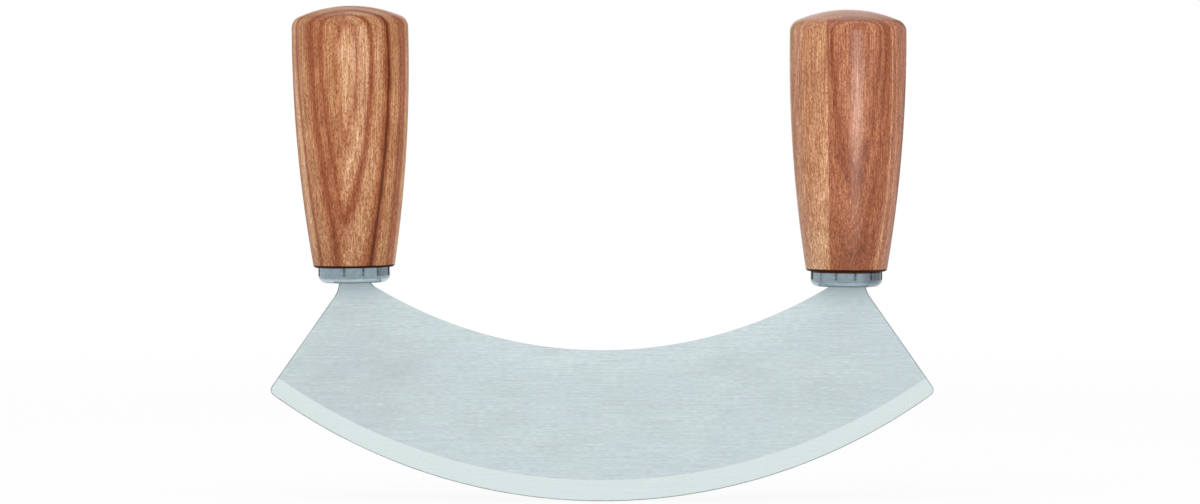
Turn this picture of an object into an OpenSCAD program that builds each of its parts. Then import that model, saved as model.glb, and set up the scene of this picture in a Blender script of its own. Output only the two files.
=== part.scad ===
// Mezzaluna: a curved rocking blade with an upright wooden handle at each end.
// The origin is the lowest point of the cutting edge, the blade lies in the plane
// Y = 0 with its length along X, and the handles point up along Z. Millimetres.

/* [Blade] */
// Length from tip to tip
blade_len = 200; // [180:1:220]
// Height at the middle, from the cutting edge to the hollow back
blade_h = 45.6; // [42:0.2:50]
// Radius of the curved cutting edge
edge_r = 169.5; // [160:0.5:190]
// Radius of the hollow back
back_r = 131.7; // [124:0.1:142]
// Lean of the two end edges from upright, in degrees
end_lean = 35; // [30:0.5:39]
// Radius that rounds off each tip
tip_r = 2; // [0.6:0.1:4]
// Thickness of the steel sheet
blade_t = 2; // [1.6:0.1:3]

/* [Ground bevel] */
// Width of the bevel at the middle of the blade
bevel_w = 6.5; // [4:0.1:9]
// Width of the bevel at the tips, square to the edge
bevel_end_w = 5.3; // [3.5:0.1:7.5]
// Thickness left at the cutting edge
edge_t = 0.2; // [0.1:0.05:0.6]

/* [Necks and tangs] */
// Distance along the blade from each tip to the middle of its neck
neck_inset = 25; // [23:0.2:27]
// Width of the neck where it enters the collar
neck_w = 8.6; // [7:0.2:11]
// Radius between the neck and the end edge
neck_outer_r = 8; // [4:0.5:16]
// Radius between the neck and the hollow back
neck_inner_r = 5; // [2:0.5:8]
// Width of the tang inside the handle
tang_w = 5.6; // [4:0.2:6.2]
// Width of the tang's blunt point
tang_tip_w = 2; // [1:0.2:3.6]
// Thickness of the neck and the tang, ground a little under the sheet's
tang_t = 1.8; // [1.2:0.1:2.4]
// Length of the tang above the collar's floor
tang_len = 44; // [25:1:55]
// Length of the taper at the tang's point
tang_point = 7; // [3:0.5:15]

/* [Collars] */
// Outer diameter of the collar
collar_d = 21.6; // [20.4:0.2:24]
// Height of the collar
collar_h = 4.6; // [3.8:0.1:8]
// Radius on the collar's lower edge
collar_edge_r = 2.2; // [0.6:0.1:3]
// Thickness of the collar's floor
collar_floor = 1.6; // [1:0.1:2.4]
// Thickness of the collar's wall around the spigot
collar_wall = 1.8; // [1.2:0.1:3]
// Clearance of the neck in the collar's slot, on each side
slot_gap = 0.15; // [0.05:0.05:0.4]

/* [Handles] */
// Length of the handle above its collar
handle_len = 78.7; // [70:0.1:95]
// Diameter at the widest place
handle_d = 35.1; // [31:0.1:40]
// Diameter at the foot, before its edge is rounded
foot_d = 24.3; // [23:0.1:28]
// Distance from the top down to the widest place
head_h = 11.6; // [10:0.1:24]
// Radius of the domed top
crown_r = 38.5; // [30:0.1:60]
// Radius between the side and the dome
shoulder_r = 3.8; // [1.6:0.1:7]
// Radius on the foot's edge
foot_edge_r = 1; // [0.4:0.1:2]
// Clearance of the spigot in the collar, on each side
spigot_gap = 0.1; // [0.05:0.05:0.3]
// Diameter of the bore for the tang
bore_d = 7; // [6.8:0.1:10]
// Depth of the bore past the tang's point
bore_spare = 4; // [1:0.5:8]
// Angle of the drill point at the bore's end, in degrees
drill_angle = 118; // [90:1:140]
// Clearance between the cured resin and the bore
bond_gap = 0.02; // [0.01:0.01:0.1]

/* [Fitting of each handle] */
// Distance along the blade from the left tip to the left handle's axis
left_inset = 25.3; // [24:0.1:26.6]
// The same distance at the right handle
right_inset = 26.4; // [24:0.1:26.6]
// Depth of the left collar's underside below the corner of the neck and the back
left_drop = 0; // [0:0.1:3]
// The same depth at the right collar
right_drop = 1.2; // [0:0.1:3]
// Outward lean of the left handle, in degrees
left_lean = 0.9; // [0:0.1:4]
// Outward lean of the right handle, in degrees
right_lean = 0.3; // [0:0.1:4]

/* [Hidden] */

// Segments of a full turn, on turned pieces and on the blade's long arcs
$fn = 180;
arc_fn = 720;
// How far a cutter or a root reaches past the face that it meets
past = 1;
// How far a rounding circle crosses the two sides that it joins, so that it meets them cleanly
crossing = 0.002;
left = -1;
right = 1;

// Tips: a circle that touches the cutting edge from inside and reaches the blade's length
tip_x = blade_len / 2 - tip_r;
tip_z = edge_r - sqrt(pow(edge_r - tip_r, 2) - pow(tip_x, 2));
end_out = [cos(end_lean), sin(end_lean)];
end_start = [tip_x, tip_z] + tip_r * end_out;
apex_z = end_start.y + end_start.x / tan(end_lean);

// Bevel line: the circle through its height at the middle and its width at the tips
tip_turn = asin(tip_x / (edge_r - tip_r));
bevel_end = [
    (edge_r - bevel_end_w) * sin(tip_turn),
    edge_r - (edge_r - bevel_end_w) * cos(tip_turn)
];
bevel_rise = bevel_end.y - bevel_w;
bevel_r = (pow(bevel_end.x, 2) + pow(bevel_rise, 2)) / (2 * bevel_rise);
bevel_z = bevel_w + bevel_r;
grind_depth = (blade_t - edge_t) / 2;

// Necks, and the rounded corners beside them
back_z = blade_h + back_r;
neck_x = blade_len / 2 - neck_inset;
neck_in = neck_x - neck_w / 2;
neck_out = neck_x + neck_w / 2;
back_corner_z = back_z - sqrt(pow(back_r, 2) - pow(neck_in, 2));
end_corner_z = end_start.y + (end_start.x - neck_out) / tan(end_lean);
outer_round = [neck_out + neck_outer_r, end_corner_z + neck_outer_r * tan(end_lean / 2)];
inner_x = neck_in - neck_inner_r;
inner_round = [inner_x, back_z - sqrt(pow(back_r - neck_inner_r, 2) - pow(inner_x, 2))];

// Collars and spigots
socket_r = collar_d / 2 - collar_wall;
spigot_r = socket_r - spigot_gap;

// Handle's side: an arc that stands upright at the widest place and falls in to the foot
belly_z = collar_h + handle_len - head_h;
belly_r = handle_d / 2;
side_fall = (handle_d - foot_d) / 2;
side_r = (pow(belly_z - collar_h, 2) + pow(side_fall, 2)) / (2 * side_fall);
side_centre = [belly_r - side_r, belly_z];
crown_centre = [0, collar_h + handle_len - crown_r];
bore_top = collar_floor + tang_len + bore_spare;

function handle_x(side) = side * (blade_len / 2 - (side == left ? left_inset : right_inset));
function seat_z(side) = back_corner_z - (side == left ? left_drop : right_drop);
function lean(side) = side * (side == left ? left_lean : right_lean);

// The point from a towards b, at a distance from a
function along(a, b, distance) = a + (b - a) * distance / norm(b - a);

// The centre nearer the right of a circle at distance ra from a and rb from b
function between(a, b, ra, rb) =
    let (d = norm(b - a))
    let (ahead = (b - a) / d)
    let (run = (ra * ra - rb * rb + d * d) / (2 * d))
    let (aside = sqrt(ra * ra - run * run))
    let (one = a + run * ahead + aside * [-ahead.y, ahead.x])
    let (two = a + run * ahead - aside * [-ahead.y, ahead.x])
    one.x > two.x ? one : two;

// Past the meeting point of the tangents at two points of a circle
function beyond(centre, start, end) =
    let (middle = (start + end) / 2 - centre)
    centre + middle * 1.5 * pow(norm(start - centre), 2) / pow(norm(middle), 2);

// Children with the corner past two tangent points of a circle rounded off by it
module rounded_corner(centre, start, end) {
    difference() {
        children();
        difference() {
            polygon([centre, start, beyond(centre, start, end), end]);
            translate(centre) circle(norm(start - centre) + crossing);
        }
    }
}

// Drawn in the frame of one handle: origin under its collar, Y along the handle's axis
module fitted_outline(side) {
    translate([handle_x(side), seat_z(side)]) rotate(-lean(side)) children();
}

module fitted(side) {
    translate([handle_x(side), 0, seat_z(side)]) rotate([0, lean(side), 0]) children();
}

// A flat outline stood up in the blade's plane, with a thickness shared by both faces
module sheet(thickness) {
    rotate([90, 0, 0]) linear_extrude(thickness, center = true) children();
}

// The concave corner between the neck and the end edge
module outer_neck_round() {
    foot = outer_round - neck_outer_r * end_out;
    difference() {
        polygon([
            [neck_out - past, outer_round.y],
            outer_round,
            foot - past * end_out,
            [neck_out - past, end_corner_z - past]
        ]);
        translate(outer_round) circle(neck_outer_r + crossing);
    }
}

// The concave corner between the neck and the hollow back
module inner_neck_round() {
    difference() {
        polygon([
            [neck_in + past, inner_round.y],
            inner_round,
            along([0, back_z], inner_round, back_r + past),
            [neck_in + past, back_corner_z - past]
        ]);
        translate(inner_round) circle(neck_inner_r + crossing);
    }
}

module neck_strip() {
    low = min(end_corner_z, back_corner_z) - neck_w;
    translate([neck_in, low]) square([neck_w, back_corner_z + collar_h - low]);
}

// The curved plate: cutting edge, leaning ends with rounded tips, hollow back
module plate_outline() {
    difference() {
        intersection() {
            translate([0, edge_r]) circle(edge_r, $fn = arc_fn);
            polygon([
                end_start - apex_z * [-tan(end_lean), 1],
                [0, apex_z],
                [-end_start.x - apex_z * tan(end_lean), end_start.y - apex_z]
            ]);
        }
        translate([0, back_z]) circle(back_r, $fn = arc_fn);
    }
}

module rounded_plate_outline() {
    tip = [tip_x, tip_z];
    edge_touch = along([0, edge_r], tip, edge_r);
    rounded_corner([-tip_x, tip_z], [-edge_touch.x, edge_touch.y], [-end_start.x, end_start.y])
        rounded_corner(tip, edge_touch, end_start)
            plate_outline();
}

module above_collars() {
    for (side = [left, right])
        fitted_outline(side) translate([-collar_d, 0]) square([2 * collar_d, collar_d]);
}

// The blade below its collars
module blade_outline() {
    difference() {
        union() {
            rounded_plate_outline();
            for (turn = [0, 1]) mirror([turn, 0]) {
                neck_strip();
                outer_neck_round();
                inner_neck_round();
            }
        }
        above_collars();
    }
}

// The neck through the collar's slot, and the tang above it
module tang_outline(side) {
    intersection() {
        mirror([side == left ? 1 : 0, 0]) neck_strip();
        fitted_outline(side) translate([-collar_d, -past]) square([2 * collar_d, collar_floor + past]);
    }
    fitted_outline(side)
        polygon([
            [-tang_w / 2, collar_floor - past],
            [tang_w / 2, collar_floor - past],
            [tang_w / 2, collar_floor + tang_len - tang_point],
            [tang_tip_w / 2, collar_floor + tang_len],
            [-tang_tip_w / 2, collar_floor + tang_len],
            [-tang_w / 2, collar_floor + tang_len - tang_point]
        ]);
}

// The space that the two grinds leave: each slopes from the bevel line on the face to the
// cutting edge. The two circles have different centres, so the cone between them is slanted.
module ground_space() {
    slant = (bevel_z - edge_r) / grind_depth;
    taper = (bevel_r - edge_r) / grind_depth;
    reach = blade_t / 2 + past;
    for (face = [0, 1]) mirror([0, face, 0])
        multmatrix([
            [1, 0, 0, 0],
            [0, 1, 0, 0],
            [0, slant, 1, edge_r - slant * edge_t / 2],
            [0, 0, 0, 1]
        ])
            rotate([-90, 0, 0])
                cylinder(
                    h = reach,
                    r1 = edge_r - taper * edge_t / 2,
                    r2 = edge_r + taper * (reach - edge_t / 2),
                    $fn = arc_fn
                );
}

module blade() {
    color("#c7d4d7") {
        intersection() {
            sheet(blade_t) blade_outline();
            ground_space();
        }
        for (side = [left, right]) sheet(tang_t) tang_outline(side);
    }
}

module collar(side) {
    round_at = [collar_d / 2 - collar_edge_r, collar_edge_r];
    slot = [neck_w, tang_t, 2 * collar_floor + 2 * past] + 2 * slot_gap * [1, 1, 0];
    color("#9fadb5") difference() {
        fitted(side) rotate_extrude() difference() {
            rounded_corner(round_at, [round_at.x, 0], [collar_d / 2, collar_edge_r])
                square([collar_d / 2, collar_h]);
            translate([0, collar_floor]) square([socket_r, collar_h]);
        }
        translate([side * neck_x, 0, seat_z(side)]) cube(slot, center = true);
    }
}

// The bore's space with its drill point, from a given height
module bore_space(radius, from) {
    rotate_extrude() polygon([
        [0, from],
        [radius, from],
        [radius, bore_top],
        [0, bore_top + radius / tan(drill_angle / 2)]
    ]);
}

// Half of the turned handle's section, above its collar
module handle_section() {
    crown_round = between(side_centre, crown_centre, side_r - shoulder_r, crown_r - shoulder_r);
    foot_z = collar_h + foot_edge_r;
    foot_reach = sqrt(pow(side_r - foot_edge_r, 2) - pow(belly_z - foot_z, 2));
    foot_round = [side_centre.x + foot_reach, foot_z];
    rounded_corner(
        foot_round,
        [foot_round.x, collar_h],
        along(side_centre, foot_round, side_r)
    )
        rounded_corner(
            crown_round,
            along(side_centre, crown_round, side_r),
            along(crown_centre, crown_round, crown_r)
        )
            intersection() {
                translate([0, collar_h]) square([handle_d, handle_len]);
                translate(side_centre) circle(side_r, $fn = 4 * arc_fn);
                union() {
                    square([handle_d, crown_centre.y]);
                    translate(crown_centre) circle(crown_r, $fn = arc_fn);
                }
            }
}

module handle(side) {
    color("#b57f5e") fitted(side) difference() {
        rotate_extrude() {
            handle_section();
            translate([0, collar_floor]) square([spigot_r, collar_h]);
        }
        bore_space(bore_d / 2, collar_floor - past);
    }
}

module tang_resin(side) {
    color("#cdb984") difference() {
        fitted(side) bore_space(bore_d / 2 - bond_gap, collar_floor);
        sheet(tang_t) tang_outline(side);
    }
}

blade();
collar(left);  // left_collar
collar(right);  // right_collar
handle(left);  // left_handle
handle(right);  // right_handle
tang_resin(left);  // left_tang_resin
tang_resin(right);  // right_tang_resin
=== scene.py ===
"""Finishes a mezzaluna in brushed and turned steel, oiled fruit wood and resin, in a plain studio."""

import math
from typing import NamedTuple

import bmesh
import bpy
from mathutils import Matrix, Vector


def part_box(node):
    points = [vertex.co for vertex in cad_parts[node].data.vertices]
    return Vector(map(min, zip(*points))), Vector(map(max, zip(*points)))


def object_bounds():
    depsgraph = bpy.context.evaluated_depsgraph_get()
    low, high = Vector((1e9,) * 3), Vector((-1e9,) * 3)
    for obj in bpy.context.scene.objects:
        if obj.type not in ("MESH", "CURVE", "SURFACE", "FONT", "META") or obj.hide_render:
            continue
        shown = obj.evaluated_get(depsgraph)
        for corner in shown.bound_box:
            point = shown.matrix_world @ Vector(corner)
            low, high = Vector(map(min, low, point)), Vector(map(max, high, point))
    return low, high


bl_info = {
    "name": "Mezzaluna Finish",
    "version": (1, 0, 0),
    "blender": (4, 5, 0),
    "location": "3D View > Sidebar > Mezzaluna",
    "description": "Gives a mezzaluna its steel, wood and resin, and sets up the studio and the camera",
    "category": "Material",
}

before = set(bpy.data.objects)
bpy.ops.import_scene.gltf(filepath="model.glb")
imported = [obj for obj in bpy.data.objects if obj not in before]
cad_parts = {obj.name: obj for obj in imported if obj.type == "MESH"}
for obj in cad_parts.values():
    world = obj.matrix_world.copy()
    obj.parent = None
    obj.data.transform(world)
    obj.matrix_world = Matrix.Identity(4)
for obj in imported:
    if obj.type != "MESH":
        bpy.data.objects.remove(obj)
CAD_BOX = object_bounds()

MM = 0.001
PER_MM = 1000.0
LEFT = "left"
RIGHT = "right"

# Parts of the range from 0 to 1 that noise fills: where most of it lies, and where nearly all of it lies
NOISE_BULK = (0.3, 0.7)
NOISE_REACH = (0.2, 0.8)

# Width of the photograph in pixels, its scale at the mezzaluna, and the camera's sensor in millimetres
PHOTO_WIDTH = 1200
PHOTO_PIXELS_PER_MM = 3.3168
SENSOR_WIDTH = 36.0

# Middle of the mezzaluna's box, and the way from there to the middle of the photograph, in metres
BOX_MIDDLE = (Vector(CAD_BOX[0]) + Vector(CAD_BOX[1])) / 2
PHOTO_OFFSET = Vector((-0.00066, 0.0, 0.00059))


class Grain(NamedTuple):
    """How the growth layers lie in one handle, and how the handle and its collar are finished.

    Lengths are in millimetres and angles in degrees.
    """

    # Lean of the handle's own axis out of the upright
    handle_lean: float
    # Bearing that the front of the pattern faces, out of the blade's own front
    facing: float
    # Turn of the layers about the handle's axis
    turn: float
    # Height above the handle's foot where the layers are measured from
    middle: float
    # Rise of the layers along the handle, then its bend and the change of that bend
    slope: float
    bow: float
    bow_change: float
    # Twist of the layers along the handle, and the change of that twist
    twist: float
    twist_change: float
    # Distance of the layers' crest from the axis, and its drift along the handle
    crest_side: float
    drift: float
    # Steepness and rounding of the crest, which gives the pointed arches
    crest: float
    crest_round: float
    # Bend of the layers across the handle, its change along it, and its lopsidedness
    cup: float
    cup_change: float
    skew: float
    # How far the layers waver
    waver: float
    # Distance from the axis where the left tones meet the right ones, its drift and its blur
    seam_side: float
    seam_drift: float
    seam_blur: float
    # Strength of the oil's sheen, and of the streaks and flecks
    oil: float
    contrast: float
    # Height of the dark joint below the handle's foot, at the collar's top
    foot_gap: float
    # How strong the painted highlight on the collar's lower edge is, and how light its right side is beside
    # the rest, as painted shade on the right collar and painted light on the left one
    painted_highlight: float
    painted_right_side: float
    # Tone at each depth, from the back to the front, left of the seam and right of it
    left_layers: tuple
    right_layers: tuple
    # Shift of the noise, so that no two handles share their fibres
    seed: float


LEFT_GRAIN = Grain(
    handle_lean=-0.9,
    facing=3.6,
    turn=-5.8,
    middle=68.0,
    slope=-0.012,
    bow=-0.00127,
    bow_change=-0.000016,
    twist=-0.00253,
    twist_change=0.000011,
    crest_side=-1.3,
    drift=0.033,
    crest=0.38,
    crest_round=0.2,
    cup=0.0053,
    cup_change=0.000071,
    skew=0.00021,
    waver=0.8,
    seam_side=-1.3,
    seam_drift=0.033,
    seam_blur=0.8,
    oil=0.45,
    contrast=1.0,
    foot_gap=0.1,
    painted_highlight=1.0,
    painted_right_side=1.1,
    left_layers=(
        (-22.0, "tan"),
        (-17.0, "russet"),
        (-15.0, "honey"),
        (-12.5, "russet"),
        (-9.0, "tan"),
        (-6.0, "russet"),
        (-3.5, "tan"),
        (-0.5, "honey"),
        (0.6, "straw"),
        (2.1, "straw"),
        (2.9, "tan"),
        (3.4, "russet"),
        (3.9, "chestnut"),
        (4.4, "rose"),
        (5.0, "tan"),
        (7.9, "tan"),
        (8.7, "rose"),
        (9.5, "russet"),
        (10.0, "chestnut"),
        (10.5, "chestnut"),
        (11.3, "russet"),
        (12.0, "rose"),
        (12.7, "rose"),
        (13.0, "chestnut"),
        (13.5, "russet"),
        (14.0, "rose"),
        (15.0, "tan"),
        (16.3, "rose"),
        (16.7, "honey"),
        (17.0, "straw"),
        (17.6, "straw"),
    ),
    right_layers=(
        (-22.0, "tan"),
        (-15.5, "honey"),
        (-13.0, "russet"),
        (-9.5, "tan"),
        (-5.0, "russet"),
        (-2.5, "tan"),
        (0.0, "straw"),
        (0.7, "honey"),
        (1.5, "russet"),
        (3.5, "russet"),
        (3.9, "chestnut"),
        (4.3, "russet"),
        (5.5, "tan"),
        (7.4, "tan"),
        (7.9, "russet"),
        (8.3, "chestnut"),
        (8.6, "umber"),
        (9.0, "umber"),
        (9.3, "chestnut"),
        (9.9, "russet"),
        (10.6, "tan"),
        (12.4, "honey"),
        (12.9, "russet"),
        (13.3, "chestnut"),
        (13.7, "russet"),
        (14.2, "honey"),
        (14.9, "straw"),
        (15.5, "honey"),
        (16.0, "rose"),
        (16.5, "honey"),
        (16.9, "straw"),
        (17.6, "straw"),
    ),
    seed=3.0,
)

RIGHT_GRAIN = Grain(
    handle_lean=0.3,
    facing=-3.5,
    turn=8.25,
    middle=60.0,
    slope=0.046,
    bow=0.00148,
    bow_change=0.000002,
    twist=0.00057,
    twist_change=0.000024,
    crest_side=2.4,
    drift=-0.028,
    crest=0.21,
    crest_round=1.9,
    cup=0.014,
    cup_change=-0.00069,
    skew=0.000007,
    waver=0.1,
    seam_side=-6.15,
    seam_drift=-0.02,
    seam_blur=0.25,
    oil=0.95,
    contrast=1.15,
    foot_gap=0.45,
    painted_highlight=0.55,
    painted_right_side=0.68,
    left_layers=(
        (-22.0, "tan"),
        (-18.0, "honey"),
        (-14.0, "russet"),
        (-10.0, "tan"),
        (-6.0, "straw"),
        (-2.0, "honey"),
        (1.0, "tan"),
        (3.5, "honey"),
        (6.4, "rose"),
        (7.5, "honey"),
        (8.4, "rose"),
        (9.2, "rose"),
        (9.8, "tan"),
        (10.6, "rose"),
        (11.1, "tan"),
        (11.6, "rose"),
        (12.2, "tan"),
        (12.7, "rose"),
        (13.2, "tan"),
        (13.7, "tan"),
        (14.1, "rose"),
        (14.5, "tan"),
        (14.8, "honey"),
        (15.0, "honey"),
        (15.2, "straw"),
        (15.5, "straw"),
        (18.0, "tan"),
    ),
    right_layers=(
        (-22.0, "tan"),
        (-17.0, "russet"),
        (-12.0, "honey"),
        (-6.0, "tan"),
        (0.0, "tan"),
        (5.0, "rose"),
        (7.6, "russet"),
        (11.0, "russet"),
        (11.5, "rose"),
        (12.1, "russet"),
        (12.6, "russet"),
        (12.85, "honey"),
        (13.05, "rose"),
        (13.25, "russet"),
        (13.7, "chestnut"),
        (14.8, "chestnut"),
        (15.0, "russet"),
        (15.12, "russet"),
        (15.22, "rose"),
        (15.34, "russet"),
        (15.5, "chestnut"),
        (15.75, "chestnut"),
        (16.1, "russet"),
        (16.6, "rose"),
        (17.2, "russet"),
        (18.4, "russet"),
    ),
    seed=11.0,
)


class Card(NamedTuple):
    """A tall card that stands round the mezzaluna and gives its steel something dark to reflect."""

    name: str
    # Way to the card's middle, in degrees from the front towards the right
    bearing: float
    # Half of the card's width, in metres
    half_width: float
    # Its tone, which is one of CARD_TONES
    tone: str


class Softbox(NamedTuple):
    """An area lamp. Its places and its size are in metres and its power is in watts."""

    name: str
    place: tuple
    target: tuple
    size: tuple
    power: float
    # Pieces that it lights, where it doesn't light them all
    lit: tuple = ()
    # Whether it lights their body colour, and whether it shows in their sheen
    on_body: bool = True
    on_sheen: bool = True


CARD_TONES = {"black": (0.02, 0.022, 0.025), "grey": (0.7, 0.72, 0.75)}

CARDS = (
    Card("left_card", -32.7, 0.06, "black"),
    Card("right_card", 28.8, 0.06, "black"),
    Card("side_card", 84.0, 0.08, "black"),
    Card("side_panel", 114.0, 0.4, "grey"),
    Card("back_left_card", -152.0, 0.2, "black"),
    Card("back_right_card", 152.0, 0.2, "black"),
)

# The point that most softboxes aim at, in the middle of the mezzaluna
MIDDLE = (0.0, 0.0, 0.08)

SOFTBOXES = (
    Softbox("left_softbox", (0.35, -1.0, 0.12), MIDDLE, (0.35, 0.24), 1.2, ("left_handle",)),
    Softbox(
        "right_softbox",
        (0.35, -1.0, 0.08),
        MIDDLE,
        (0.24, 0.2),
        2.4,
        ("right_handle",),
        on_sheen=False,
    ),
    Softbox(
        "sheen_softbox",
        (0.35, -1.0, 0.045),
        (0.07, 0.0, 0.11),
        (0.22, 0.07),
        2.4,
        ("right_handle",),
        on_body=False,
    ),
    Softbox("floor_softbox", (0.0, 0.0, 1.2), (0.0, 0.0, 0.0), (1.0, 1.0), 4.5, ("studio_floor",)),
    Softbox("overhead_softbox", (-0.3, -0.6, 1.1), MIDDLE, (0.9, 0.9), 2.0),
)


def linear(red, green, blue):
    """The linear colour of a colour that is written as it looks on a screen, from 0 to 255."""

    def channel(value):
        value /= 255.0
        return value / 12.92 if value <= 0.04045 else ((value + 0.055) / 1.055) ** 2.4

    return (channel(red), channel(green), channel(blue))


def colour_property(name, description, default):
    """A colour that a user may change."""
    return bpy.props.FloatVectorProperty(
        name=name, description=description, default=default, subtype="COLOR", size=3, min=0.0, max=1.0
    )


def share_property(name, description, default):
    """A number from 0 to 1 that a user may change."""
    return bpy.props.FloatProperty(
        name=name, description=description, default=default, subtype="FACTOR", min=0.0, max=1.0
    )


def length_property(name, description, default):
    """A length in metres that a user may change."""
    return bpy.props.FloatProperty(
        name=name, description=description, default=default, unit="LENGTH", subtype="DISTANCE", min=0.0
    )


class MezzalunaBladeSettings(bpy.types.PropertyGroup):
    """Finish of the blade"""

    face_colour: colour_property("Face", "Steel of the brushed faces", linear(204, 217, 219))
    dull_colour: colour_property("Dull patches", "Slightly duller steel in patches", linear(200, 213, 214))
    tint_colour: colour_property("Bluish patches", "Slightly bluer steel in patches", linear(202, 215, 219))
    grind_colour: colour_property("Grind", "Steel of the ground bevel", linear(221, 232, 232))
    neck_colour: colour_property("Neck", "Steel of the necks, shaded by the collars", linear(146, 165, 176))
    side_colour: colour_property("Sides", "Steel of the sheet's sides", linear(160, 172, 177))
    # Painted dark reflection along the cut edges
    rim_reflection_colour: colour_property("Rim", "Thin dark line along the cut edges", linear(44, 50, 54))
    rim_width: length_property("Rim width", "Width of the dark line along each cut edge", 0.0005)
    brush_length: length_property("Brush length", "Length of the brushing's strokes", 0.0022)
    brush_pitch: length_property("Brush pitch", "Distance between the brushing's strokes", 0.0004)
    brush_depth: length_property("Brush depth", "Depth of the brushing's strokes", 0.000004)
    roughness: share_property("Roughness", "Roughness of the brushed faces", 0.36)
    grind_roughness: share_property("Grind roughness", "Roughness of the ground bevel", 0.28)


class MezzalunaCollarSettings(bpy.types.PropertyGroup):
    """Finish of the collars"""

    wall_colour: colour_property("Wall", "Steel of the collar's wall", linear(140, 156, 164))
    # Painted highlight on the collar's lower edge
    lower_highlight_colour: colour_property("Edge", "Steel of the lower edge, rubbed brighter", linear(180, 196, 203))
    # Painted shade on the collar's underside
    underside_shade_colour: colour_property("Underside", "Darker steel of the underside", linear(92, 104, 110))
    joint_colour: colour_property("Joint", "Dark joint where the wood meets the collar", linear(72, 42, 30))
    turning_pitch: length_property("Turning pitch", "Distance between the turning lines", 0.0002)
    turning_depth: length_property("Turning depth", "Depth of the turning lines", 0.000002)
    roughness: share_property("Roughness", "Roughness of the turned steel", 0.16)


class MezzalunaWoodSettings(bpy.types.PropertyGroup):
    """Finish of the handles"""

    straw: colour_property("Straw", "Lightest wood", linear(213, 158, 115))
    honey: colour_property("Honey", "Light wood", linear(200, 140, 98))
    tan: colour_property("Tan", "Light wood between the growth lines", linear(190, 131, 87))
    rose: colour_property("Rose", "Light red wood", linear(182, 113, 74))
    russet: colour_property("Russet", "Middling red wood", linear(168, 98, 60))
    chestnut: colour_property("Chestnut", "Dark red wood", linear(150, 79, 41))
    umber: colour_property("Umber", "Darkest growth lines", linear(98, 42, 12))
    # Sawn end grain at the foot, darkened further with painted shade
    end_grain_shade_colour: colour_property("Foot", "Sawn end grain at the foot", linear(40, 20, 12))
    fibre_pitch: length_property("Fibre pitch", "Width of the fibre streaks", 0.00035)
    fibre_length: length_property("Fibre length", "Length of the fibre streaks", 0.014)
    fleck_length: length_property("Fleck length", "Length of the short flecks", 0.0009)
    contrast: share_property("Contrast", "Strength of the streaks and flecks", 0.7)
    pore_depth: length_property("Pore depth", "Depth of the open pores", 0.00002)
    roughness: share_property("Roughness", "Roughness of the wood under the oil", 0.55)
    oil: share_property("Oil", "Strength of the oil's sheen", 1.0)
    oil_roughness: share_property("Oil roughness", "Roughness of the oil's sheen", 0.32)


class MezzalunaResinSettings(bpy.types.PropertyGroup):
    """Finish of the resin round the tangs"""

    clear_colour: colour_property("Clear", "Clear amber resin", linear(214, 176, 106))
    cloud_colour: colour_property("Cloud", "Cloudy resin", linear(176, 132, 66))
    roughness: share_property("Roughness", "Roughness of the cured resin", 0.14)


class MezzalunaStudioSettings(bpy.types.PropertyGroup):
    """Floor, light and camera"""

    floor_colour: colour_property("Floor", "Colour of the floor", (0.95, 0.95, 0.95))
    floor_radius: length_property("Floor radius", "Radius of the round floor", 4.0)
    shadow_share: share_property("Shadow", "How much of the shadow the camera sees on the floor", 0.2)
    fill: share_property("Fill", "Strength of the even light from all round", 0.68)
    view_height: bpy.props.FloatProperty(
        name="View height",
        description="Angle of the view above the horizon",
        default=math.radians(1.9),
        unit="ROTATION",
        subtype="ANGLE",
    )
    view_distance: length_property("View distance", "Distance from the camera to the object's middle", 1.2)
    view_target: bpy.props.FloatVectorProperty(
        name="View target",
        description="Point that the camera looks at",
        default=tuple(BOX_MIDDLE + PHOTO_OFFSET),
        unit="LENGTH",
        subtype="TRANSLATION",
        size=3,
    )


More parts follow.
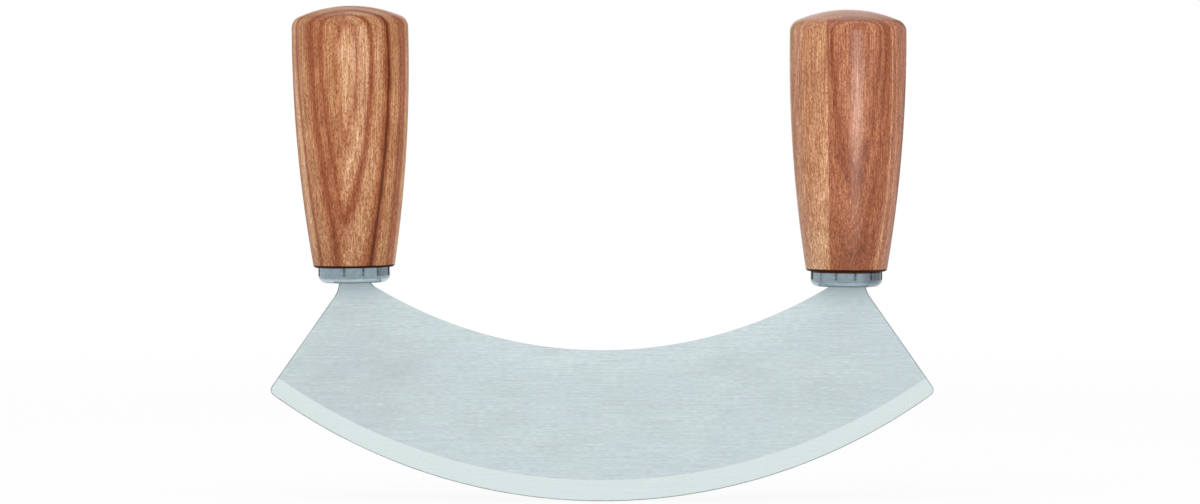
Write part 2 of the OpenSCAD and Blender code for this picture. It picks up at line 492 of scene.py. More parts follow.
class Recipe:
    """A node tree that is being put together, for a material or for the world."""

    # The Mix node's sockets for colours
    MIX_SHARE, MIX_FIRST, MIX_SECOND, MIX_RESULT = 0, 6, 7, 2

    def __init__(self, tree):
        self.tree = tree
        self.tree.nodes.clear()

    def node(self, kind, sockets=None, **settings):
        """Adds a node. A socket's value is a number, a colour, a vector or another node's output."""
        made = self.tree.nodes.new("ShaderNode" + kind)
        for name, value in settings.items():
            setattr(made, name, value)
        for key, value in (sockets or {}).items():
            self.feed(made.inputs[key], value)
        return made

    def feed(self, socket, value):
        """Joins a value or an output to a socket."""
        if isinstance(value, bpy.types.NodeSocket):
            self.tree.links.new(value, socket)
        elif socket.type == "RGBA":
            socket.default_value = (*value, 1.0)
        else:
            socket.default_value = value

    def math(self, operation, *values):
        """One step of arithmetic."""
        return self.node("Math", dict(enumerate(values)), operation=operation).outputs[0]

    def total(self, *values):
        """The sum of several values."""
        result = values[0]
        for value in values[1:]:
            result = self.math("ADD", result, value)
        return result

    def weighted(self, *pairs):
        """The sum of several values, each multiplied by its own number."""
        result = 0.0
        for value, number in pairs:
            result = self.math("MULTIPLY_ADD", value, number, result)
        return result

    def vector(self, operation, *values):
        """One step of vector arithmetic, as the node's outputs."""
        return self.node("VectorMath", dict(enumerate(values)), operation=operation).outputs

    def scaled(self, vector, scale):
        """A vector with each axis scaled by its own number."""
        return self.vector("MULTIPLY", vector, scale)[0]

    def moved(self, vector, step):
        """A vector with a step added."""
        return self.vector("ADD", vector, step)[0]

    def parts(self, vector):
        """The three parts of a vector."""
        return self.node("SeparateXYZ", {0: vector}).outputs

    def noise(self, point, sizes, detail=2.0, roughness=0.5):
        """Smooth noise from 0 to 1, with features of the given sizes along X, Y and Z."""
        vector = self.scaled(point, tuple(1.0 / size for size in sizes))
        sockets = {"Vector": vector, "Scale": 1.0, "Detail": detail, "Roughness": roughness}
        return self.node("TexNoise", sockets).outputs["Fac"]

    def rise(self, value, low, high, bottom=0.0, top=1.0):
        """A smooth step from bottom to top as value goes from low to high."""
        sockets = {"Value": value, "From Min": low, "From Max": high, "To Min": bottom, "To Max": top}
        return self.node("MapRange", sockets, interpolation_type="SMOOTHSTEP").outputs[0]

    def span(self, value, low, high, bottom=0.0, top=1.0):
        """A straight ramp from bottom to top as value goes from low to high."""
        sockets = {"Value": value, "From Min": low, "From Max": high, "To Min": bottom, "To Max": top}
        return self.node("MapRange", sockets).outputs[0]

    def mixed(self, share, first, second, blend_type="MIX"):
        """A colour between two, or one laid over the other."""
        node = self.node("Mix", data_type="RGBA", blend_type=blend_type)
        self.feed(node.inputs[self.MIX_SHARE], share)
        self.feed(node.inputs[self.MIX_FIRST], first)
        self.feed(node.inputs[self.MIX_SECOND], second)
        return node.outputs[self.MIX_RESULT]

    def shade(self, colour, amount):
        """A colour with its lightness multiplied by an amount near 1."""
        grey = self.node("CombineXYZ", {0: amount, 1: amount, 2: amount}).outputs[0]
        return self.mixed(1.0, colour, grey, "MULTIPLY")

    def varied(self, colour, noise, change):
        """A colour whose lightness follows noise, up and down by a change."""
        return self.shade(colour, self.span(noise, *NOISE_BULK, 1.0 - change, 1.0 + change))

    def roughened(self, noise, roughness, below, above):
        """A roughness that follows noise, from some way below a value to some way above it."""
        return self.span(noise, *NOISE_REACH, roughness - below, roughness + above)

    def deepened(self, colour, amount, red, green, blue):
        """A colour made lighter by an amount, or darker below 0, with a factor for each channel."""
        channels = [self.math("POWER", factor, amount) for factor in (red, green, blue)]
        factors = self.node("CombineXYZ", dict(enumerate(channels))).outputs[0]
        return self.mixed(1.0, colour, factors, "MULTIPLY")

    def ramp(self, value, stops):
        """A colour that follows stops, each a place from 0 to 1 and a colour."""
        node = self.node("ValToRGB", {0: value})
        elements = node.color_ramp.elements
        elements.remove(elements[1])
        for number, (place, colour) in enumerate(stops):
            element = elements[0] if number == 0 else elements.new(place)
            element.position = place
            element.color = (*colour, 1.0)
        return node.outputs[0]

    def bump(self, height, depth):
        """A surface normal for a height from 0 to 1 that stands for a depth in metres."""
        return self.node("Bump", {"Height": height, "Distance": depth, "Strength": 1.0}).outputs[0]


def new_material(name):
    """A material and its empty recipe."""
    material = bpy.data.materials.new(name)
    material.use_nodes = True
    return material, Recipe(material.node_tree)


def finish_surface(recipe, sockets):
    """Adds the shader and the output."""
    shader = recipe.node("BsdfPrincipled", sockets)
    recipe.node("OutputMaterial", {"Surface": shader.outputs[0]})


def finish_steel(recipe, colour, roughness, normal, stretch):
    """Adds a metal shader whose reflections stretch across the brushing or the turning lines."""
    tangent = recipe.node("Tangent", direction_type="RADIAL", axis="Z").outputs[0]
    finish_surface(
        recipe,
        {
            "Base Color": colour,
            "Metallic": 1.0,
            "Roughness": roughness,
            "Normal": normal,
            "Anisotropic": stretch,
            "Anisotropic Rotation": 0.25,
            "Tangent": tangent,
        },
    )


def model_space(recipe):
    """The point on the surface in the model's frame, in millimetres."""
    point = recipe.node("TexCoord").outputs["Object"]
    return recipe.scaled(point, (PER_MM, PER_MM, PER_MM))


def axis_space(recipe, side, grain):
    """The point beside a handle's axis, in millimetres: Z runs up from the collar and Y to the back."""
    from_foot = recipe.moved(model_space(recipe), tuple(-axis_foot(side) * PER_MM))
    turn = recipe.node("Mapping", {"Vector": from_foot})
    lean = math.radians(grain.handle_lean)
    bearing = math.radians(grain.facing)
    turn.inputs["Rotation"].default_value = (0.0, -lean, -bearing)
    return turn.outputs[0]


def axis_foot(side):
    """The point where a handle's axis leaves its collar."""
    low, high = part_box(side + "_collar")
    return Vector(((low.x + high.x) / 2, 0.0, high.z))


def dress(node, material):
    """Puts a material on one of the packed pieces."""
    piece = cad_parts[node]
    piece.material_slots[0].link = "OBJECT"
    piece.material_slots[0].material = material


def ground_share(recipe, point):
    """1 on the ground bevels, which lie below the blade's flat faces, and 0 on those faces."""
    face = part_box("blade")[1].y * PER_MM
    # Depths below the face, in millimetres, where a bevel starts and where it is full
    start, full = 0.001, 0.012
    from_middle = recipe.math("ABSOLUTE", recipe.parts(point)[1])
    return recipe.rise(from_middle, face - start, face - full)


def painted_rim_share(recipe, settings, point, normal):
    """How strong the painted dark reflection along the cut edges is. The hollow back has none."""
    # Likeness of the rounded and the true normal where the line starts and where it is full
    line_start, line_full = 0.995, 0.95
    # Upward lean of the rounded normal on the hollow back, and the lean where the line is full again
    hollow_lean, edge_lean = 0.84, 0.72
    # Size of the patches where the painted line fades, in millimetres, and how much of the line is left on
    # them
    patch_size, fade_low, fade_high, left_over = (16.0, 1.0, 16.0), 0.35, 0.5, 0.7
    rounded = recipe.node("Bevel", {"Radius": settings.rim_width}, samples=6).outputs[0]
    likeness = recipe.vector("DOT_PRODUCT", rounded, normal)["Value"]
    outward = recipe.vector("NORMALIZE", recipe.scaled(rounded, (1.0, 0.0, 1.0)))[0]
    on_line = recipe.rise(likeness, line_start, line_full)
    off_hollow = recipe.rise(recipe.parts(outward)[2], hollow_lean, edge_lean)
    rim_fade = recipe.span(recipe.noise(point, patch_size), fade_low, fade_high, left_over, 1.0)
    return recipe.math("MULTIPLY", recipe.math("MULTIPLY", on_line, off_hollow), rim_fade)


def neck_share(recipe, point):
    """How far a point of the blade lies in the shade below its collar."""
    # Height of the shade in millimetres, and its strength at the collar
    shade_height, strongest = 7.0, 0.39
    left_foot, right_foot = [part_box(side + "_collar")[0] * PER_MM for side in (LEFT, RIGHT)]
    across, _, height = recipe.parts(point)
    collar_foot = recipe.span(across, left_foot.x, right_foot.x, left_foot.z, right_foot.z)
    below = recipe.math("SUBTRACT", collar_foot, height)
    return recipe.rise(below, shade_height, 0.0, 0.0, strongest)


def patched_steel(recipe, settings, point):
    """The blade's steel under its brushing: soft patches, a painted reflection as a brighter band along the
    hollow back and a painted darker reflection in a broad place.
    """
    # Sizes of the patches in millimetres, and the noise between which each kind comes in
    dull_size, dull_low, dull_high = (20.0, 1.0, 9.0), 0.42, 0.62
    tint_size, tint_low, tint_high = (24.0, 1.0, 15.0), 0.45, 0.62
    # The hollow back's circle in millimetres, with the width and the lightness of the painted reflection
    # band along it
    hollow_centre, hollow_radius, reflection_band_width, reflection_band_light = (0.0, 0.0, 177.6), 131.7, 12.0, 1.06
    # Middle and radius of the painted darker reflection in millimetres, with its lightness there and past
    # the radius
    painted_dark_centre, painted_dark_radius, painted_dark_light, open_light = (-72.0, 0.0, 38.0), 34.0, 0.925, 1.005
    dull = recipe.rise(recipe.noise(point, dull_size, detail=3.0), dull_low, dull_high)
    tint = recipe.rise(recipe.noise(point, tint_size), tint_low, tint_high)
    from_centre = recipe.vector("DISTANCE", point, hollow_centre)["Value"]
    # Painted reflection: a lighter band along the hollow back
    painted_reflection_band = recipe.rise(from_centre, hollow_radius, hollow_radius + reflection_band_width, reflection_band_light, 1.0)
    from_painted_dark = recipe.vector("DISTANCE", point, painted_dark_centre)["Value"]
    # Painted reflection: a broad darker place on the blade's left
    place = recipe.rise(from_painted_dark, 0.0, painted_dark_radius, painted_dark_light, open_light)
    colour = recipe.mixed(dull, settings.face_colour, settings.dull_colour)
    colour = recipe.mixed(tint, colour, settings.tint_colour)
    return recipe.shade(recipe.shade(colour, painted_reflection_band), place)


def blade_steel(settings):
    """Steel brushed along the blade, with a finer and lighter ground bevel and a painted dark reflection
    along the cut edges.
    """
    material, recipe = new_material("blade_brushed_steel")
    # Lengths of a scratch and of a pass in strokes, and the pitch of the passes in pitches of the strokes
    scratch_length, pass_length, pass_pitch = 5, 20, 2.5
    # Size of the grinding lines on the bevel, in millimetres
    grinding_size = (12.0, 1.0, 0.6)
    # How far strokes, scratches, passes and grinding lines change the lightness
    stroke_change, scratch_change, pass_change, grinding_change = 0.09, 0.06, 0.025, 0.02
    # Shares of strokes and scratches in the brushing's depth
    stroke_share, scratch_share = 0.6, 0.4
    # How far the roughness strays, on the faces and on the bevel
    face_stray, bevel_stray = 0.05, 0.04
    # How squarely a surface faces the front or the back, on the faces and on the sheet's sides
    face_facing, side_facing = 0.8, 0.5
    stroke = settings.brush_length * PER_MM
    pitch = settings.brush_pitch * PER_MM
    point = model_space(recipe)
    normal = recipe.node("NewGeometry").outputs["Normal"]

    strokes = recipe.noise(point, (stroke, 1.0, pitch), roughness=0.6)
    scratches = recipe.noise(point, (scratch_length * stroke, 1.0, pitch))
    passes = recipe.noise(point, (pass_length * stroke, 1.0, pass_pitch * pitch))
    grinding = recipe.noise(point, grinding_size, roughness=0.6)
    bevel = ground_share(recipe, point)
    off_bevel = recipe.math("SUBTRACT", 1.0, bevel)
    facing = recipe.math("ABSOLUTE", recipe.parts(normal)[1])
    side = recipe.rise(facing, face_facing, side_facing)

    face = patched_steel(recipe, settings, point)
    face = recipe.varied(face, strokes, stroke_change)
    face = recipe.varied(face, scratches, scratch_change)
    face = recipe.varied(face, passes, pass_change)
    colour = recipe.mixed(bevel, face, recipe.varied(settings.grind_colour, grinding, grinding_change))
    colour = recipe.mixed(neck_share(recipe, point), colour, settings.neck_colour)
    colour = recipe.mixed(side, colour, settings.side_colour)
    # Painted dark reflection along the cut edges
    colour = recipe.mixed(painted_rim_share(recipe, settings, point, normal), colour, settings.rim_reflection_colour)

    face_rough = recipe.roughened(strokes, settings.roughness, face_stray, face_stray)
    bevel_rough = recipe.roughened(grinding, settings.grind_roughness, bevel_stray, bevel_stray)
    roughness = recipe.total(
        recipe.math("MULTIPLY", face_rough, off_bevel),
        recipe.math("MULTIPLY", bevel_rough, bevel),
    )
    brushing = recipe.weighted((strokes, stroke_share), (scratches, scratch_share))
    height = recipe.math("MULTIPLY", brushing, off_bevel)
    finish_steel(recipe, colour, roughness, recipe.bump(height, settings.brush_depth), stretch=0.6)
    return material


def collar_steel(settings, side, grain):
    """Steel with fine turning lines, a painted highlight on its lower edge, painted shade on its underside,
    its right side painted darker on the right collar and lighter on the left one, and a dark joint under
    the handle.
    """
    material, recipe = new_material(side + "_collar_turned_steel")
    # Length of the turning lines and size of the mottling, in millimetres
    line_length, mottle_size = 50.0, (1.6, 1.6, 0.9)
    # How far lines and mottling change the lightness
    line_change, mottle_change = 0.04, 0.13
    # Upward lean of the surface where the painted highlight on the lower edge starts and is full, and then
    # the painted shade on the underside
    edge_start, edge_full, under_start, under_full = -0.3, -0.55, -0.78, -0.93
    # Places across the collar, in millimetres, where its painted right side starts and is full
    right_start, right_full = 4.0, 7.0
    # Blur of the joint's lower end, in millimetres
    joint_blur = 0.1
    point = axis_space(recipe, side, grain)
    across, _, height = recipe.parts(point)
    upward = recipe.parts(recipe.node("NewGeometry").outputs["Normal"])[2]

    pitch = settings.turning_pitch * PER_MM
    lines = recipe.noise(point, (line_length, line_length, pitch), detail=3.0, roughness=0.6)
    mottle = recipe.noise(point, mottle_size, detail=3.0, roughness=0.6)
    edge = recipe.rise(upward, edge_start, edge_full, 0.0, grain.painted_highlight)
    underside = recipe.rise(upward, under_start, under_full)
    joint = recipe.rise(height, -grain.foot_gap - joint_blur, -grain.foot_gap + joint_blur)

    # Painted highlight on the lower edge, where the surface leans down
    colour = recipe.mixed(edge, settings.wall_colour, settings.lower_highlight_colour)
    colour = recipe.varied(colour, lines, line_change)
    colour = recipe.varied(colour, mottle, mottle_change)
    # Painted shade on the right collar's right side, and painted light on the left collar's
    colour = recipe.shade(colour, recipe.rise(across, right_start, right_full, 1.0, grain.painted_right_side))
    # Painted shade on the underside
    colour = recipe.mixed(underside, colour, settings.underside_shade_colour)
    colour = recipe.mixed(joint, colour, settings.joint_colour)
    roughness = recipe.roughened(mottle, settings.roughness, below=0.03, above=0.05)
    finish_steel(recipe, colour, roughness, recipe.bump(lines, settings.turning_depth), stretch=0.7)
    return material


def layer_depth(recipe, point, grain):
    """A point's depth among the growth layers, in millimetres to the front, and its way from the seam."""
    # Heights between which the crest grows rounder towards the crown, and how much rounder
    shoulder_low, shoulder_high, rounder = 62.0, 79.0, 5.0
    x, y, z = recipe.parts(point)
    turn = math.radians(grain.turn)
    height = recipe.math("SUBTRACT", z, grain.middle)
    height_square = recipe.math("MULTIPLY", height, height)
    height_cube = recipe.math("MULTIPLY", height_square, height)
    from_crest = recipe.weighted((x, 1.0), (height, -grain.drift))
    across = recipe.math("SUBTRACT", from_crest, grain.crest_side)
    across_square = recipe.math("MULTIPLY", across, across)
    across_cube = recipe.math("MULTIPLY", across_square, across)
    crown_round = grain.crest_round + rounder
    rounding = recipe.rise(z, shoulder_low, shoulder_high, grain.crest_round, crown_round)
    ridge = recipe.math("SQRT", recipe.math("MULTIPLY_ADD", rounding, rounding, across_square))
    depth = recipe.weighted(
        (y, -math.cos(turn)),
        (x, math.sin(turn)),
        (height, grain.slope),
        (height_square, grain.bow),
        (height_cube, grain.bow_change),
        (recipe.math("MULTIPLY", x, height), grain.twist),
        (recipe.math("MULTIPLY", x, height_square), grain.twist_change),
        (recipe.math("SUBTRACT", ridge, grain.crest_round), -grain.crest),
        (across_square, grain.cup),
        (recipe.math("MULTIPLY", across_square, height), grain.cup_change),
        (across_cube, grain.skew),
    )
    beside_seam = recipe.weighted((x, 1.0), (height, -grain.seam_drift))
    return depth, recipe.math("SUBTRACT", beside_seam, grain.seam_side)


def layer_colour(recipe, settings, depth, layers):
    """The wood's tone at a depth."""
    back, front = layers[0][0], layers[-1][0]
    stops = [((place - back) / (front - back), getattr(settings, tone)) for place, tone in layers]
    return recipe.ramp(recipe.span(depth, back, front), stops)


def growth_layers(recipe, settings, point, shifted, grain):
    """The depth among the growth layers, which waver, and the wood's colour there."""
    # Size of the slow wander and of the quick ripple, and how far each moves the layers, in millimetres
    wander_size, wander = (5.0, 5.0, 22.0), 0.4 * grain.waver
    ripple_size, ripple = (1.2, 1.2, 7.0), 0.3 * grain.waver
    # Depths between which the seam softens, and its blur below them
    seam_top, seam_bottom, deep_blur = 12.0, 8.0, 6.0
    depth, from_seam = layer_depth(recipe, point, grain)
    depth = recipe.total(
        depth,
        recipe.span(recipe.noise(shifted, wander_size), 0.0, 1.0, -wander, wander),
        recipe.span(recipe.noise(shifted, ripple_size), 0.0, 1.0, -ripple, ripple),
    )
    left = layer_colour(recipe, settings, depth, grain.left_layers)
    right = layer_colour(recipe, settings, depth, grain.right_layers)
    blur = recipe.rise(depth, seam_top, seam_bottom, grain.seam_blur, deep_blur)
    to_right = recipe.rise(recipe.math("DIVIDE", from_seam, blur), -1.0, 1.0)
    return depth, recipe.mixed(to_right, left, right)


def handle_wood(settings, side, grain):
    """Oiled fruit wood with curved growth layers, fibre streaks, dark pores and a foot darkened as end
    grain and with painted shade.
    """
    material, recipe = new_material(side + "_handle_fruit_wood")
    # Depth of one fine ring and size of the clouds, in millimetres
    ring_depth, cloud_size = 0.625, (6.0, 6.0, 16.0)
    # Noise of the flecks where a pore is dark and where it ends
    pore_dark, pore_end = 0.25, 0.6
    # Weights of rings, fibres, pores and clouds in the streaks, and the mean that they come to
    ring_weight, fibre_weight, pore_weight, cloud_weight, streak_mean = 0.7, 1.6, 0.6, 0.6, 1.88
    # Strength of the streaks at full contrast, and the factors of red, green and blue for one unit of them
    full_strength, streak_tint = 2.0, (2.0, 3.0, 4.3)
    # Upward lean of the surface where the darker foot, end grain with painted shade, starts and where it is
    # full
    foot_start, foot_full = -0.05, -0.45
    # Shares of fibres and flecks in the depth of the pores
    fibre_share, fleck_share = 0.5, 0.5
    # How far the roughness falls from its value to the fibres, and rises from it to the pores
    pore_stray = 0.08
    pitch = settings.fibre_pitch * PER_MM
    point = axis_space(recipe, side, grain)
    shifted = recipe.moved(point, (grain.seed, grain.seed, grain.seed))
    upward = recipe.parts(recipe.node("NewGeometry").outputs["Normal"])[2]

    depth, colour = growth_layers(recipe, settings, point, shifted, grain)
    along_depth = recipe.node("CombineXYZ", {0: depth}).outputs[0]
    rings = recipe.noise(along_depth, (ring_depth, 1.0, 1.0), detail=3.0, roughness=0.6)
    fibres = recipe.noise(shifted, (pitch, pitch, settings.fibre_length * PER_MM), roughness=0.6)
    flecks = recipe.noise(shifted, (pitch, pitch, settings.fleck_length * PER_MM))
    pores = recipe.rise(flecks, pore_dark, pore_end)
    clouds = recipe.noise(shifted, cloud_size)

    streaks = recipe.weighted(
        (rings, ring_weight),
        (fibres, fibre_weight),
        (pores, pore_weight),
        (clouds, cloud_weight),
    )
    strength = full_strength * settings.contrast * grain.contrast
    texture = recipe.math("MULTIPLY", recipe.math("SUBTRACT", streaks, streak_mean), strength)
    colour = recipe.deepened(colour, texture, *streak_tint)
    # The foot's end grain, darkened further with painted shade where the handle meets its collar
    end_grain_shade = recipe.rise(upward, foot_start, foot_full)
    colour = recipe.mixed(end_grain_shade, colour, settings.end_grain_shade_colour)
    oil = recipe.math("MULTIPLY", recipe.math("SUBTRACT", 1.0, end_grain_shade), settings.oil * grain.oil)

    height = recipe.weighted((fibres, fibre_share), (flecks, fleck_share))
    finish_surface(
        recipe,
        {
            "Base Color": colour,
            "Roughness": recipe.roughened(flecks, settings.roughness, -pore_stray, -pore_stray),
            "Normal": recipe.bump(height, settings.pore_depth),
            "Specular IOR Level": 0.06,
            "Coat Weight": oil,
            "Coat Roughness": settings.oil_roughness,
        },
    )
    return material


def amber_resin(settings):
    """Cured amber resin with cloudy swirls."""
    material, recipe = new_material("amber_tang_resin")
    # Sizes of the clouds and of the ripple, in millimetres
    cloud_size, ripple_size = (2.0, 2.0, 5.0), (0.5, 0.5, 0.5)
    # Noise between which the clouds come in
    cloud_low, cloud_high = 0.35, 0.7
    # Depth of the ripple, in metres
    ripple_depth = 0.00001
    point = model_space(recipe)
    clouds = recipe.noise(point, cloud_size, detail=4.0, roughness=0.55)
    ripple = recipe.noise(point, ripple_size)
    cloudy = recipe.rise(clouds, cloud_low, cloud_high)
    finish_surface(
        recipe,
        {
            "Base Color": recipe.mixed(cloudy, settings.clear_colour, settings.cloud_colour),
            "Roughness": recipe.roughened(clouds, settings.roughness, below=0.04, above=0.08),
            "Normal": recipe.bump(ripple, ripple_depth),
            "IOR": 1.55,
        },
    )
    return material


def floor_surface(settings):
    """A pale floor that fades into the backdrop, keeps the object's shadow and is clear from below."""
    material, recipe = new_material("studio_floor")
    # Distances from the middle, in metres, where the shadow is gone and where it is full
    shadow_end, shadow_full = 0.9, 0.25
    # Size of the floor's grit in metres, and how far it changes the lightness
    grit_size, grit_change = 1 / 300.0, 0.01
    point = recipe.node("TexCoord").outputs["Object"]
    away = recipe.vector("LENGTH", point)["Value"]
    shown = recipe.rise(away, shadow_end, shadow_full, 0.0, settings.shadow_share)
    lit_share = recipe.math("MAXIMUM", shown, recipe.math("SUBTRACT", 1.0, seen_straight(recipe)))
    grit = recipe.noise(point, (grit_size, grit_size, grit_size))
    lightness = recipe.span(grit, 0.0, 1.0, 1.0 - grit_change, 1.0 + grit_change)
    colour = recipe.shade(settings.floor_colour, lightness)
    lit = recipe.node("BsdfDiffuse", {"Color": colour}).outputs[0]
    white = recipe.node("Emission", {"Color": (1.0, 1.0, 1.0), "Strength": 1.0}).outputs[0]
    both = recipe.node("MixShader", {0: lit_share, 1: white, 2: lit}).outputs[0]
    clear = recipe.node("BsdfTransparent").outputs[0]
    from_below = recipe.node("NewGeometry").outputs["Backfacing"]
    surface = recipe.node("MixShader", {0: from_below, 1: both, 2: clear}).outputs[0]
    recipe.node("OutputMaterial", {"Surface": surface})
    return material


def seen_straight(recipe):
    """1 for a ray from the camera, from a mirror or through glass, and 0 for light that scatters."""
    path = recipe.node("LightPath").outputs
    glossy_or_through = recipe.math("MAXIMUM", path["Is Glossy Ray"], path["Is Transmission Ray"])
    return recipe.math("MAXIMUM", path["Is Camera Ray"], glossy_or_through)


def card_surface(name, colour):
    """Plain card with a little tooth."""
    material, recipe = new_material(name)
    # Size of the tooth in metres, and how far it changes the lightness
    tooth_size, tooth_change = 0.0025, 0.2
    point = recipe.node("TexCoord").outputs["Object"]
    tooth = recipe.noise(point, (tooth_size, tooth_size, tooth_size))
    lightness = recipe.span(tooth, 0.0, 1.0, 1.0 - tooth_change, 1.0 + tooth_change)
    diffuse = recipe.node("BsdfDiffuse", {"Color": recipe.shade(colour, lightness)}).outputs[0]
    recipe.node("OutputMaterial", {"Surface": diffuse})
    return material


def add_mesh(name, builder, material):
    """A mesh object built by a function that fills a bmesh."""
    mesh = bpy.data.meshes.new(name)
    shape = bmesh.new()
    builder(shape)
    shape.to_mesh(mesh)
    shape.free()
    mesh.materials.append(material)
    piece = bpy.data.objects.new(name, mesh)
    bpy.context.scene.collection.objects.link(piece)
    return piece


def add_floor(settings):
    """The round floor that the mezzaluna stands on."""
    rim_points = 96

    def build(shape):
        bmesh.ops.create_circle(shape, cap_ends=True, segments=rim_points, radius=settings.floor_radius)

    floor = add_mesh("studio_floor", build, floor_surface(settings))
    return floor


def add_card(card, material):
    """Stands one card on the floor, where only reflections see it."""
    # Distance from the middle to the card, and the card's height, in metres
    distance, height = 1.0, 0.9
    bearing = math.radians(card.bearing)
    centre = Vector((math.sin(bearing), -math.cos(bearing), 0.0)) * distance
    sideways = Vector((math.cos(bearing), math.sin(bearing), 0.0)) * card.half_width
    upward = Vector((0.0, 0.0, height))
    foot = (centre - sideways, centre + sideways)
    corners = (*foot, foot[1] + upward, foot[0] + upward)

    def build(shape):
        shape.faces.new([shape.verts.new(corner) for corner in corners])

    piece = add_mesh(card.name, build, material)
    piece.visible_camera = False
    piece.visible_diffuse = False
    piece.visible_shadow = False
    piece.visible_transmission = False


def add_softbox(box, pieces):
    """Hangs one softbox and points it at its target."""
    lamp = bpy.data.lights.new(box.name, "AREA")
    lamp.shape = "RECTANGLE"
    lamp.size, lamp.size_y = box.size
    lamp.energy = box.power
    softbox = bpy.data.objects.new(box.name, lamp)
    bpy.context.scene.collection.objects.link(softbox)
    softbox.location = box.place
    softbox.rotation_mode = "QUATERNION"
    softbox.rotation_quaternion = (Vector(box.target) - Vector(box.place)).to_track_quat("-Z", "Y")
    softbox.visible_diffuse = box.on_body
    softbox.visible_glossy = box.on_sheen
    if box.lit:
        group = bpy.data.collections.new(box.name + "_lit")
        for name in box.lit:
            group.objects.link(pieces[name])
        softbox.light_linking.receiver_collection = group


def set_backdrop(settings):
    """A white backdrop all round, which lights the object more weakly than it shows."""
    world = bpy.data.worlds.new("studio_backdrop")
    world.use_nodes = True
    bpy.context.scene.world = world
    recipe = Recipe(world.node_tree)
    strength = recipe.span(seen_straight(recipe), 0.0, 1.0, settings.fill, 1.0)
    light = recipe.node("Background", {"Color": (1.0, 1.0, 1.0), "Strength": strength}).outputs[0]
    recipe.node("OutputWorld", {"Surface": light})


class MEZZALUNA_OT_blade(bpy.types.Operator):
    """Gives the blade its brushed faces, ground bevels and cut edges"""

    bl_idname = "mezzaluna.blade"
    bl_label = "Finish Blade"
    bl_options = {"REGISTER", "UNDO"}

    def execute(self, context):
        dress("blade", blade_steel(context.scene.mezzaluna_blade))
        return {"FINISHED"}


class MEZZALUNA_OT_collars(bpy.types.Operator):
    """Gives both collars their turned steel"""

    bl_idname = "mezzaluna.collars"
    bl_label = "Finish Collars"
    bl_options = {"REGISTER", "UNDO"}

    def execute(self, context):
        settings = context.scene.mezzaluna_collars
        for side, grain in ((LEFT, LEFT_GRAIN), (RIGHT, RIGHT_GRAIN)):
            dress(side + "_collar", collar_steel(settings, side, grain))
        return {"FINISHED"}


class MEZZALUNA_OT_handles(bpy.types.Operator):
    """Gives each handle its own piece of oiled fruit wood"""

    bl_idname = "mezzaluna.handles"
    bl_label = "Finish Handles"
    bl_options = {"REGISTER", "UNDO"}

    def execute(self, context):
        settings = context.scene.mezzaluna_wood
        for side, grain in ((LEFT, LEFT_GRAIN), (RIGHT, RIGHT_GRAIN)):
            dress(side + "_handle", handle_wood(settings, side, grain))
        return {"FINISHED"}


class MEZZALUNA_OT_resin(bpy.types.Operator):
    """Gives the resin round both tangs its amber look"""

    bl_idname = "mezzaluna.resin"
    bl_label = "Finish Tang Resin"
    bl_options = {"REGISTER", "UNDO"}

    def execute(self, context):
        resin = amber_resin(context.scene.mezzaluna_resin)
        for side in (LEFT, RIGHT):
            dress(side + "_tang_resin", resin)
        return {"FINISHED"}


class MEZZALUNA_OT_studio(bpy.types.Operator):
    """Sets up the floor, the backdrop, the softboxes and the cards"""

    bl_idname = "mezzaluna.studio"
    bl_label = "Set Up Studio"
    bl_options = {"REGISTER", "UNDO"}

    def execute(self, context):
        settings = context.scene.mezzaluna_studio
        set_backdrop(settings)
        pieces = dict(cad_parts, studio_floor=add_floor(settings))
        surfaces = {tone: card_surface(tone + "_card", colour) for tone, colour in CARD_TONES.items()}
        for card in CARDS:
            add_card(card, surfaces[card.tone])
        for box in SOFTBOXES:
            add_softbox(box, pieces)
        context.scene.view_settings.view_transform = "Standard"
        return {"FINISHED"}


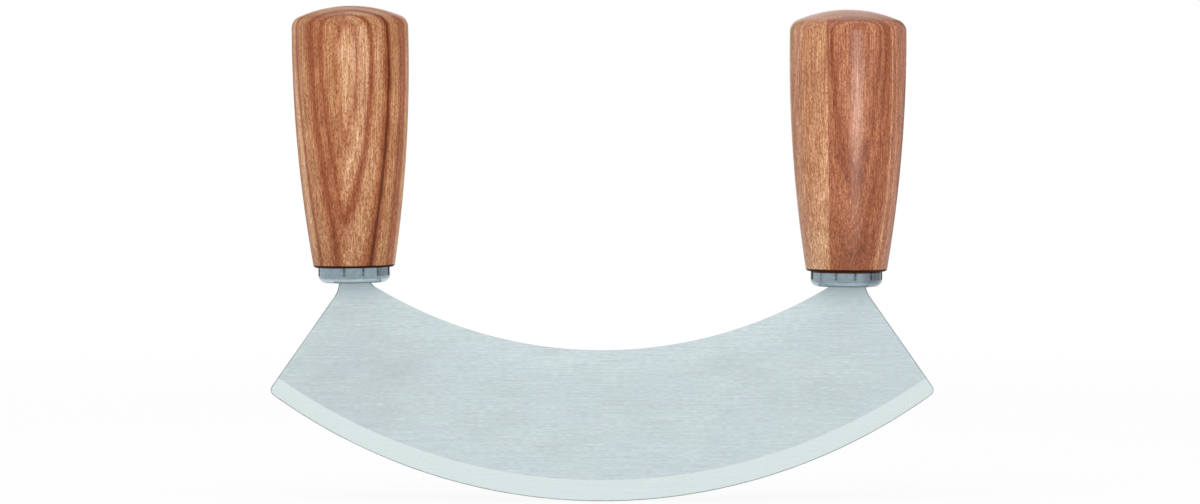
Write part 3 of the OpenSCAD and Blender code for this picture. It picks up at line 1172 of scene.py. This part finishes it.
class MEZZALUNA_OT_camera(bpy.types.Operator):
    """Sets the camera to the photograph's view"""

    bl_idname = "mezzaluna.camera"
    bl_label = "Set Camera"
    bl_options = {"REGISTER", "UNDO"}

    def execute(self, context):
        settings = context.scene.mezzaluna_studio
        target = Vector(settings.view_target)
        height = settings.view_height
        back = Vector((0.0, -math.cos(height), math.sin(height)))
        frame_width = PHOTO_WIDTH / PHOTO_PIXELS_PER_MM * MM
        view = bpy.data.cameras.new("photo_camera")
        view.sensor_width = SENSOR_WIDTH
        view.lens = SENSOR_WIDTH * settings.view_distance / frame_width
        camera = bpy.data.objects.new("photo_camera", view)
        context.scene.collection.objects.link(camera)
        camera.location = target + back * settings.view_distance
        camera.rotation_mode = "QUATERNION"
        camera.rotation_quaternion = (-back).to_track_quat("-Z", "Y")
        context.scene.camera = camera
        return {"FINISHED"}


STEPS = (
    MEZZALUNA_OT_camera,
    MEZZALUNA_OT_blade,
    MEZZALUNA_OT_collars,
    MEZZALUNA_OT_handles,
    MEZZALUNA_OT_resin,
    MEZZALUNA_OT_studio,
)

SETTINGS = (
    ("mezzaluna_blade", MezzalunaBladeSettings),
    ("mezzaluna_collars", MezzalunaCollarSettings),
    ("mezzaluna_wood", MezzalunaWoodSettings),
    ("mezzaluna_resin", MezzalunaResinSettings),
    ("mezzaluna_studio", MezzalunaStudioSettings),
)


class MEZZALUNA_PT_panel(bpy.types.Panel):
    """Lists the mezzaluna's steps and settings"""

    bl_idname = "MEZZALUNA_PT_panel"
    bl_label = "Mezzaluna"
    bl_space_type = "VIEW_3D"
    bl_region_type = "UI"
    bl_category = "Mezzaluna"

    def draw(self, context):
        for step in STEPS:
            self.layout.operator(step.bl_idname)
        for name, group in SETTINGS:
            box = self.layout.box()
            box.label(text=group.__doc__)
            for key in group.__annotations__:
                box.prop(getattr(context.scene, name), key)


def register():
    """Registers the settings, the steps and the panel."""
    for name, group in SETTINGS:
        bpy.utils.register_class(group)
        setattr(bpy.types.Scene, name, bpy.props.PointerProperty(type=group))
    for step in STEPS:
        bpy.utils.register_class(step)
    bpy.utils.register_class(MEZZALUNA_PT_panel)


def unregister():
    """Takes out what register put in."""
    bpy.utils.unregister_class(MEZZALUNA_PT_panel)
    for step in reversed(STEPS):
        bpy.utils.unregister_class(step)
    for name, group in reversed(SETTINGS):
        delattr(bpy.types.Scene, name)
        bpy.utils.unregister_class(group)


def main():
    """Runs every step in order."""
    register()
    bpy.ops.mezzaluna.camera()
    bpy.ops.mezzaluna.blade()
    bpy.ops.mezzaluna.collars()
    bpy.ops.mezzaluna.handles()
    bpy.ops.mezzaluna.resin()
    bpy.ops.mezzaluna.studio()


if __name__ == "__main__":
    main()
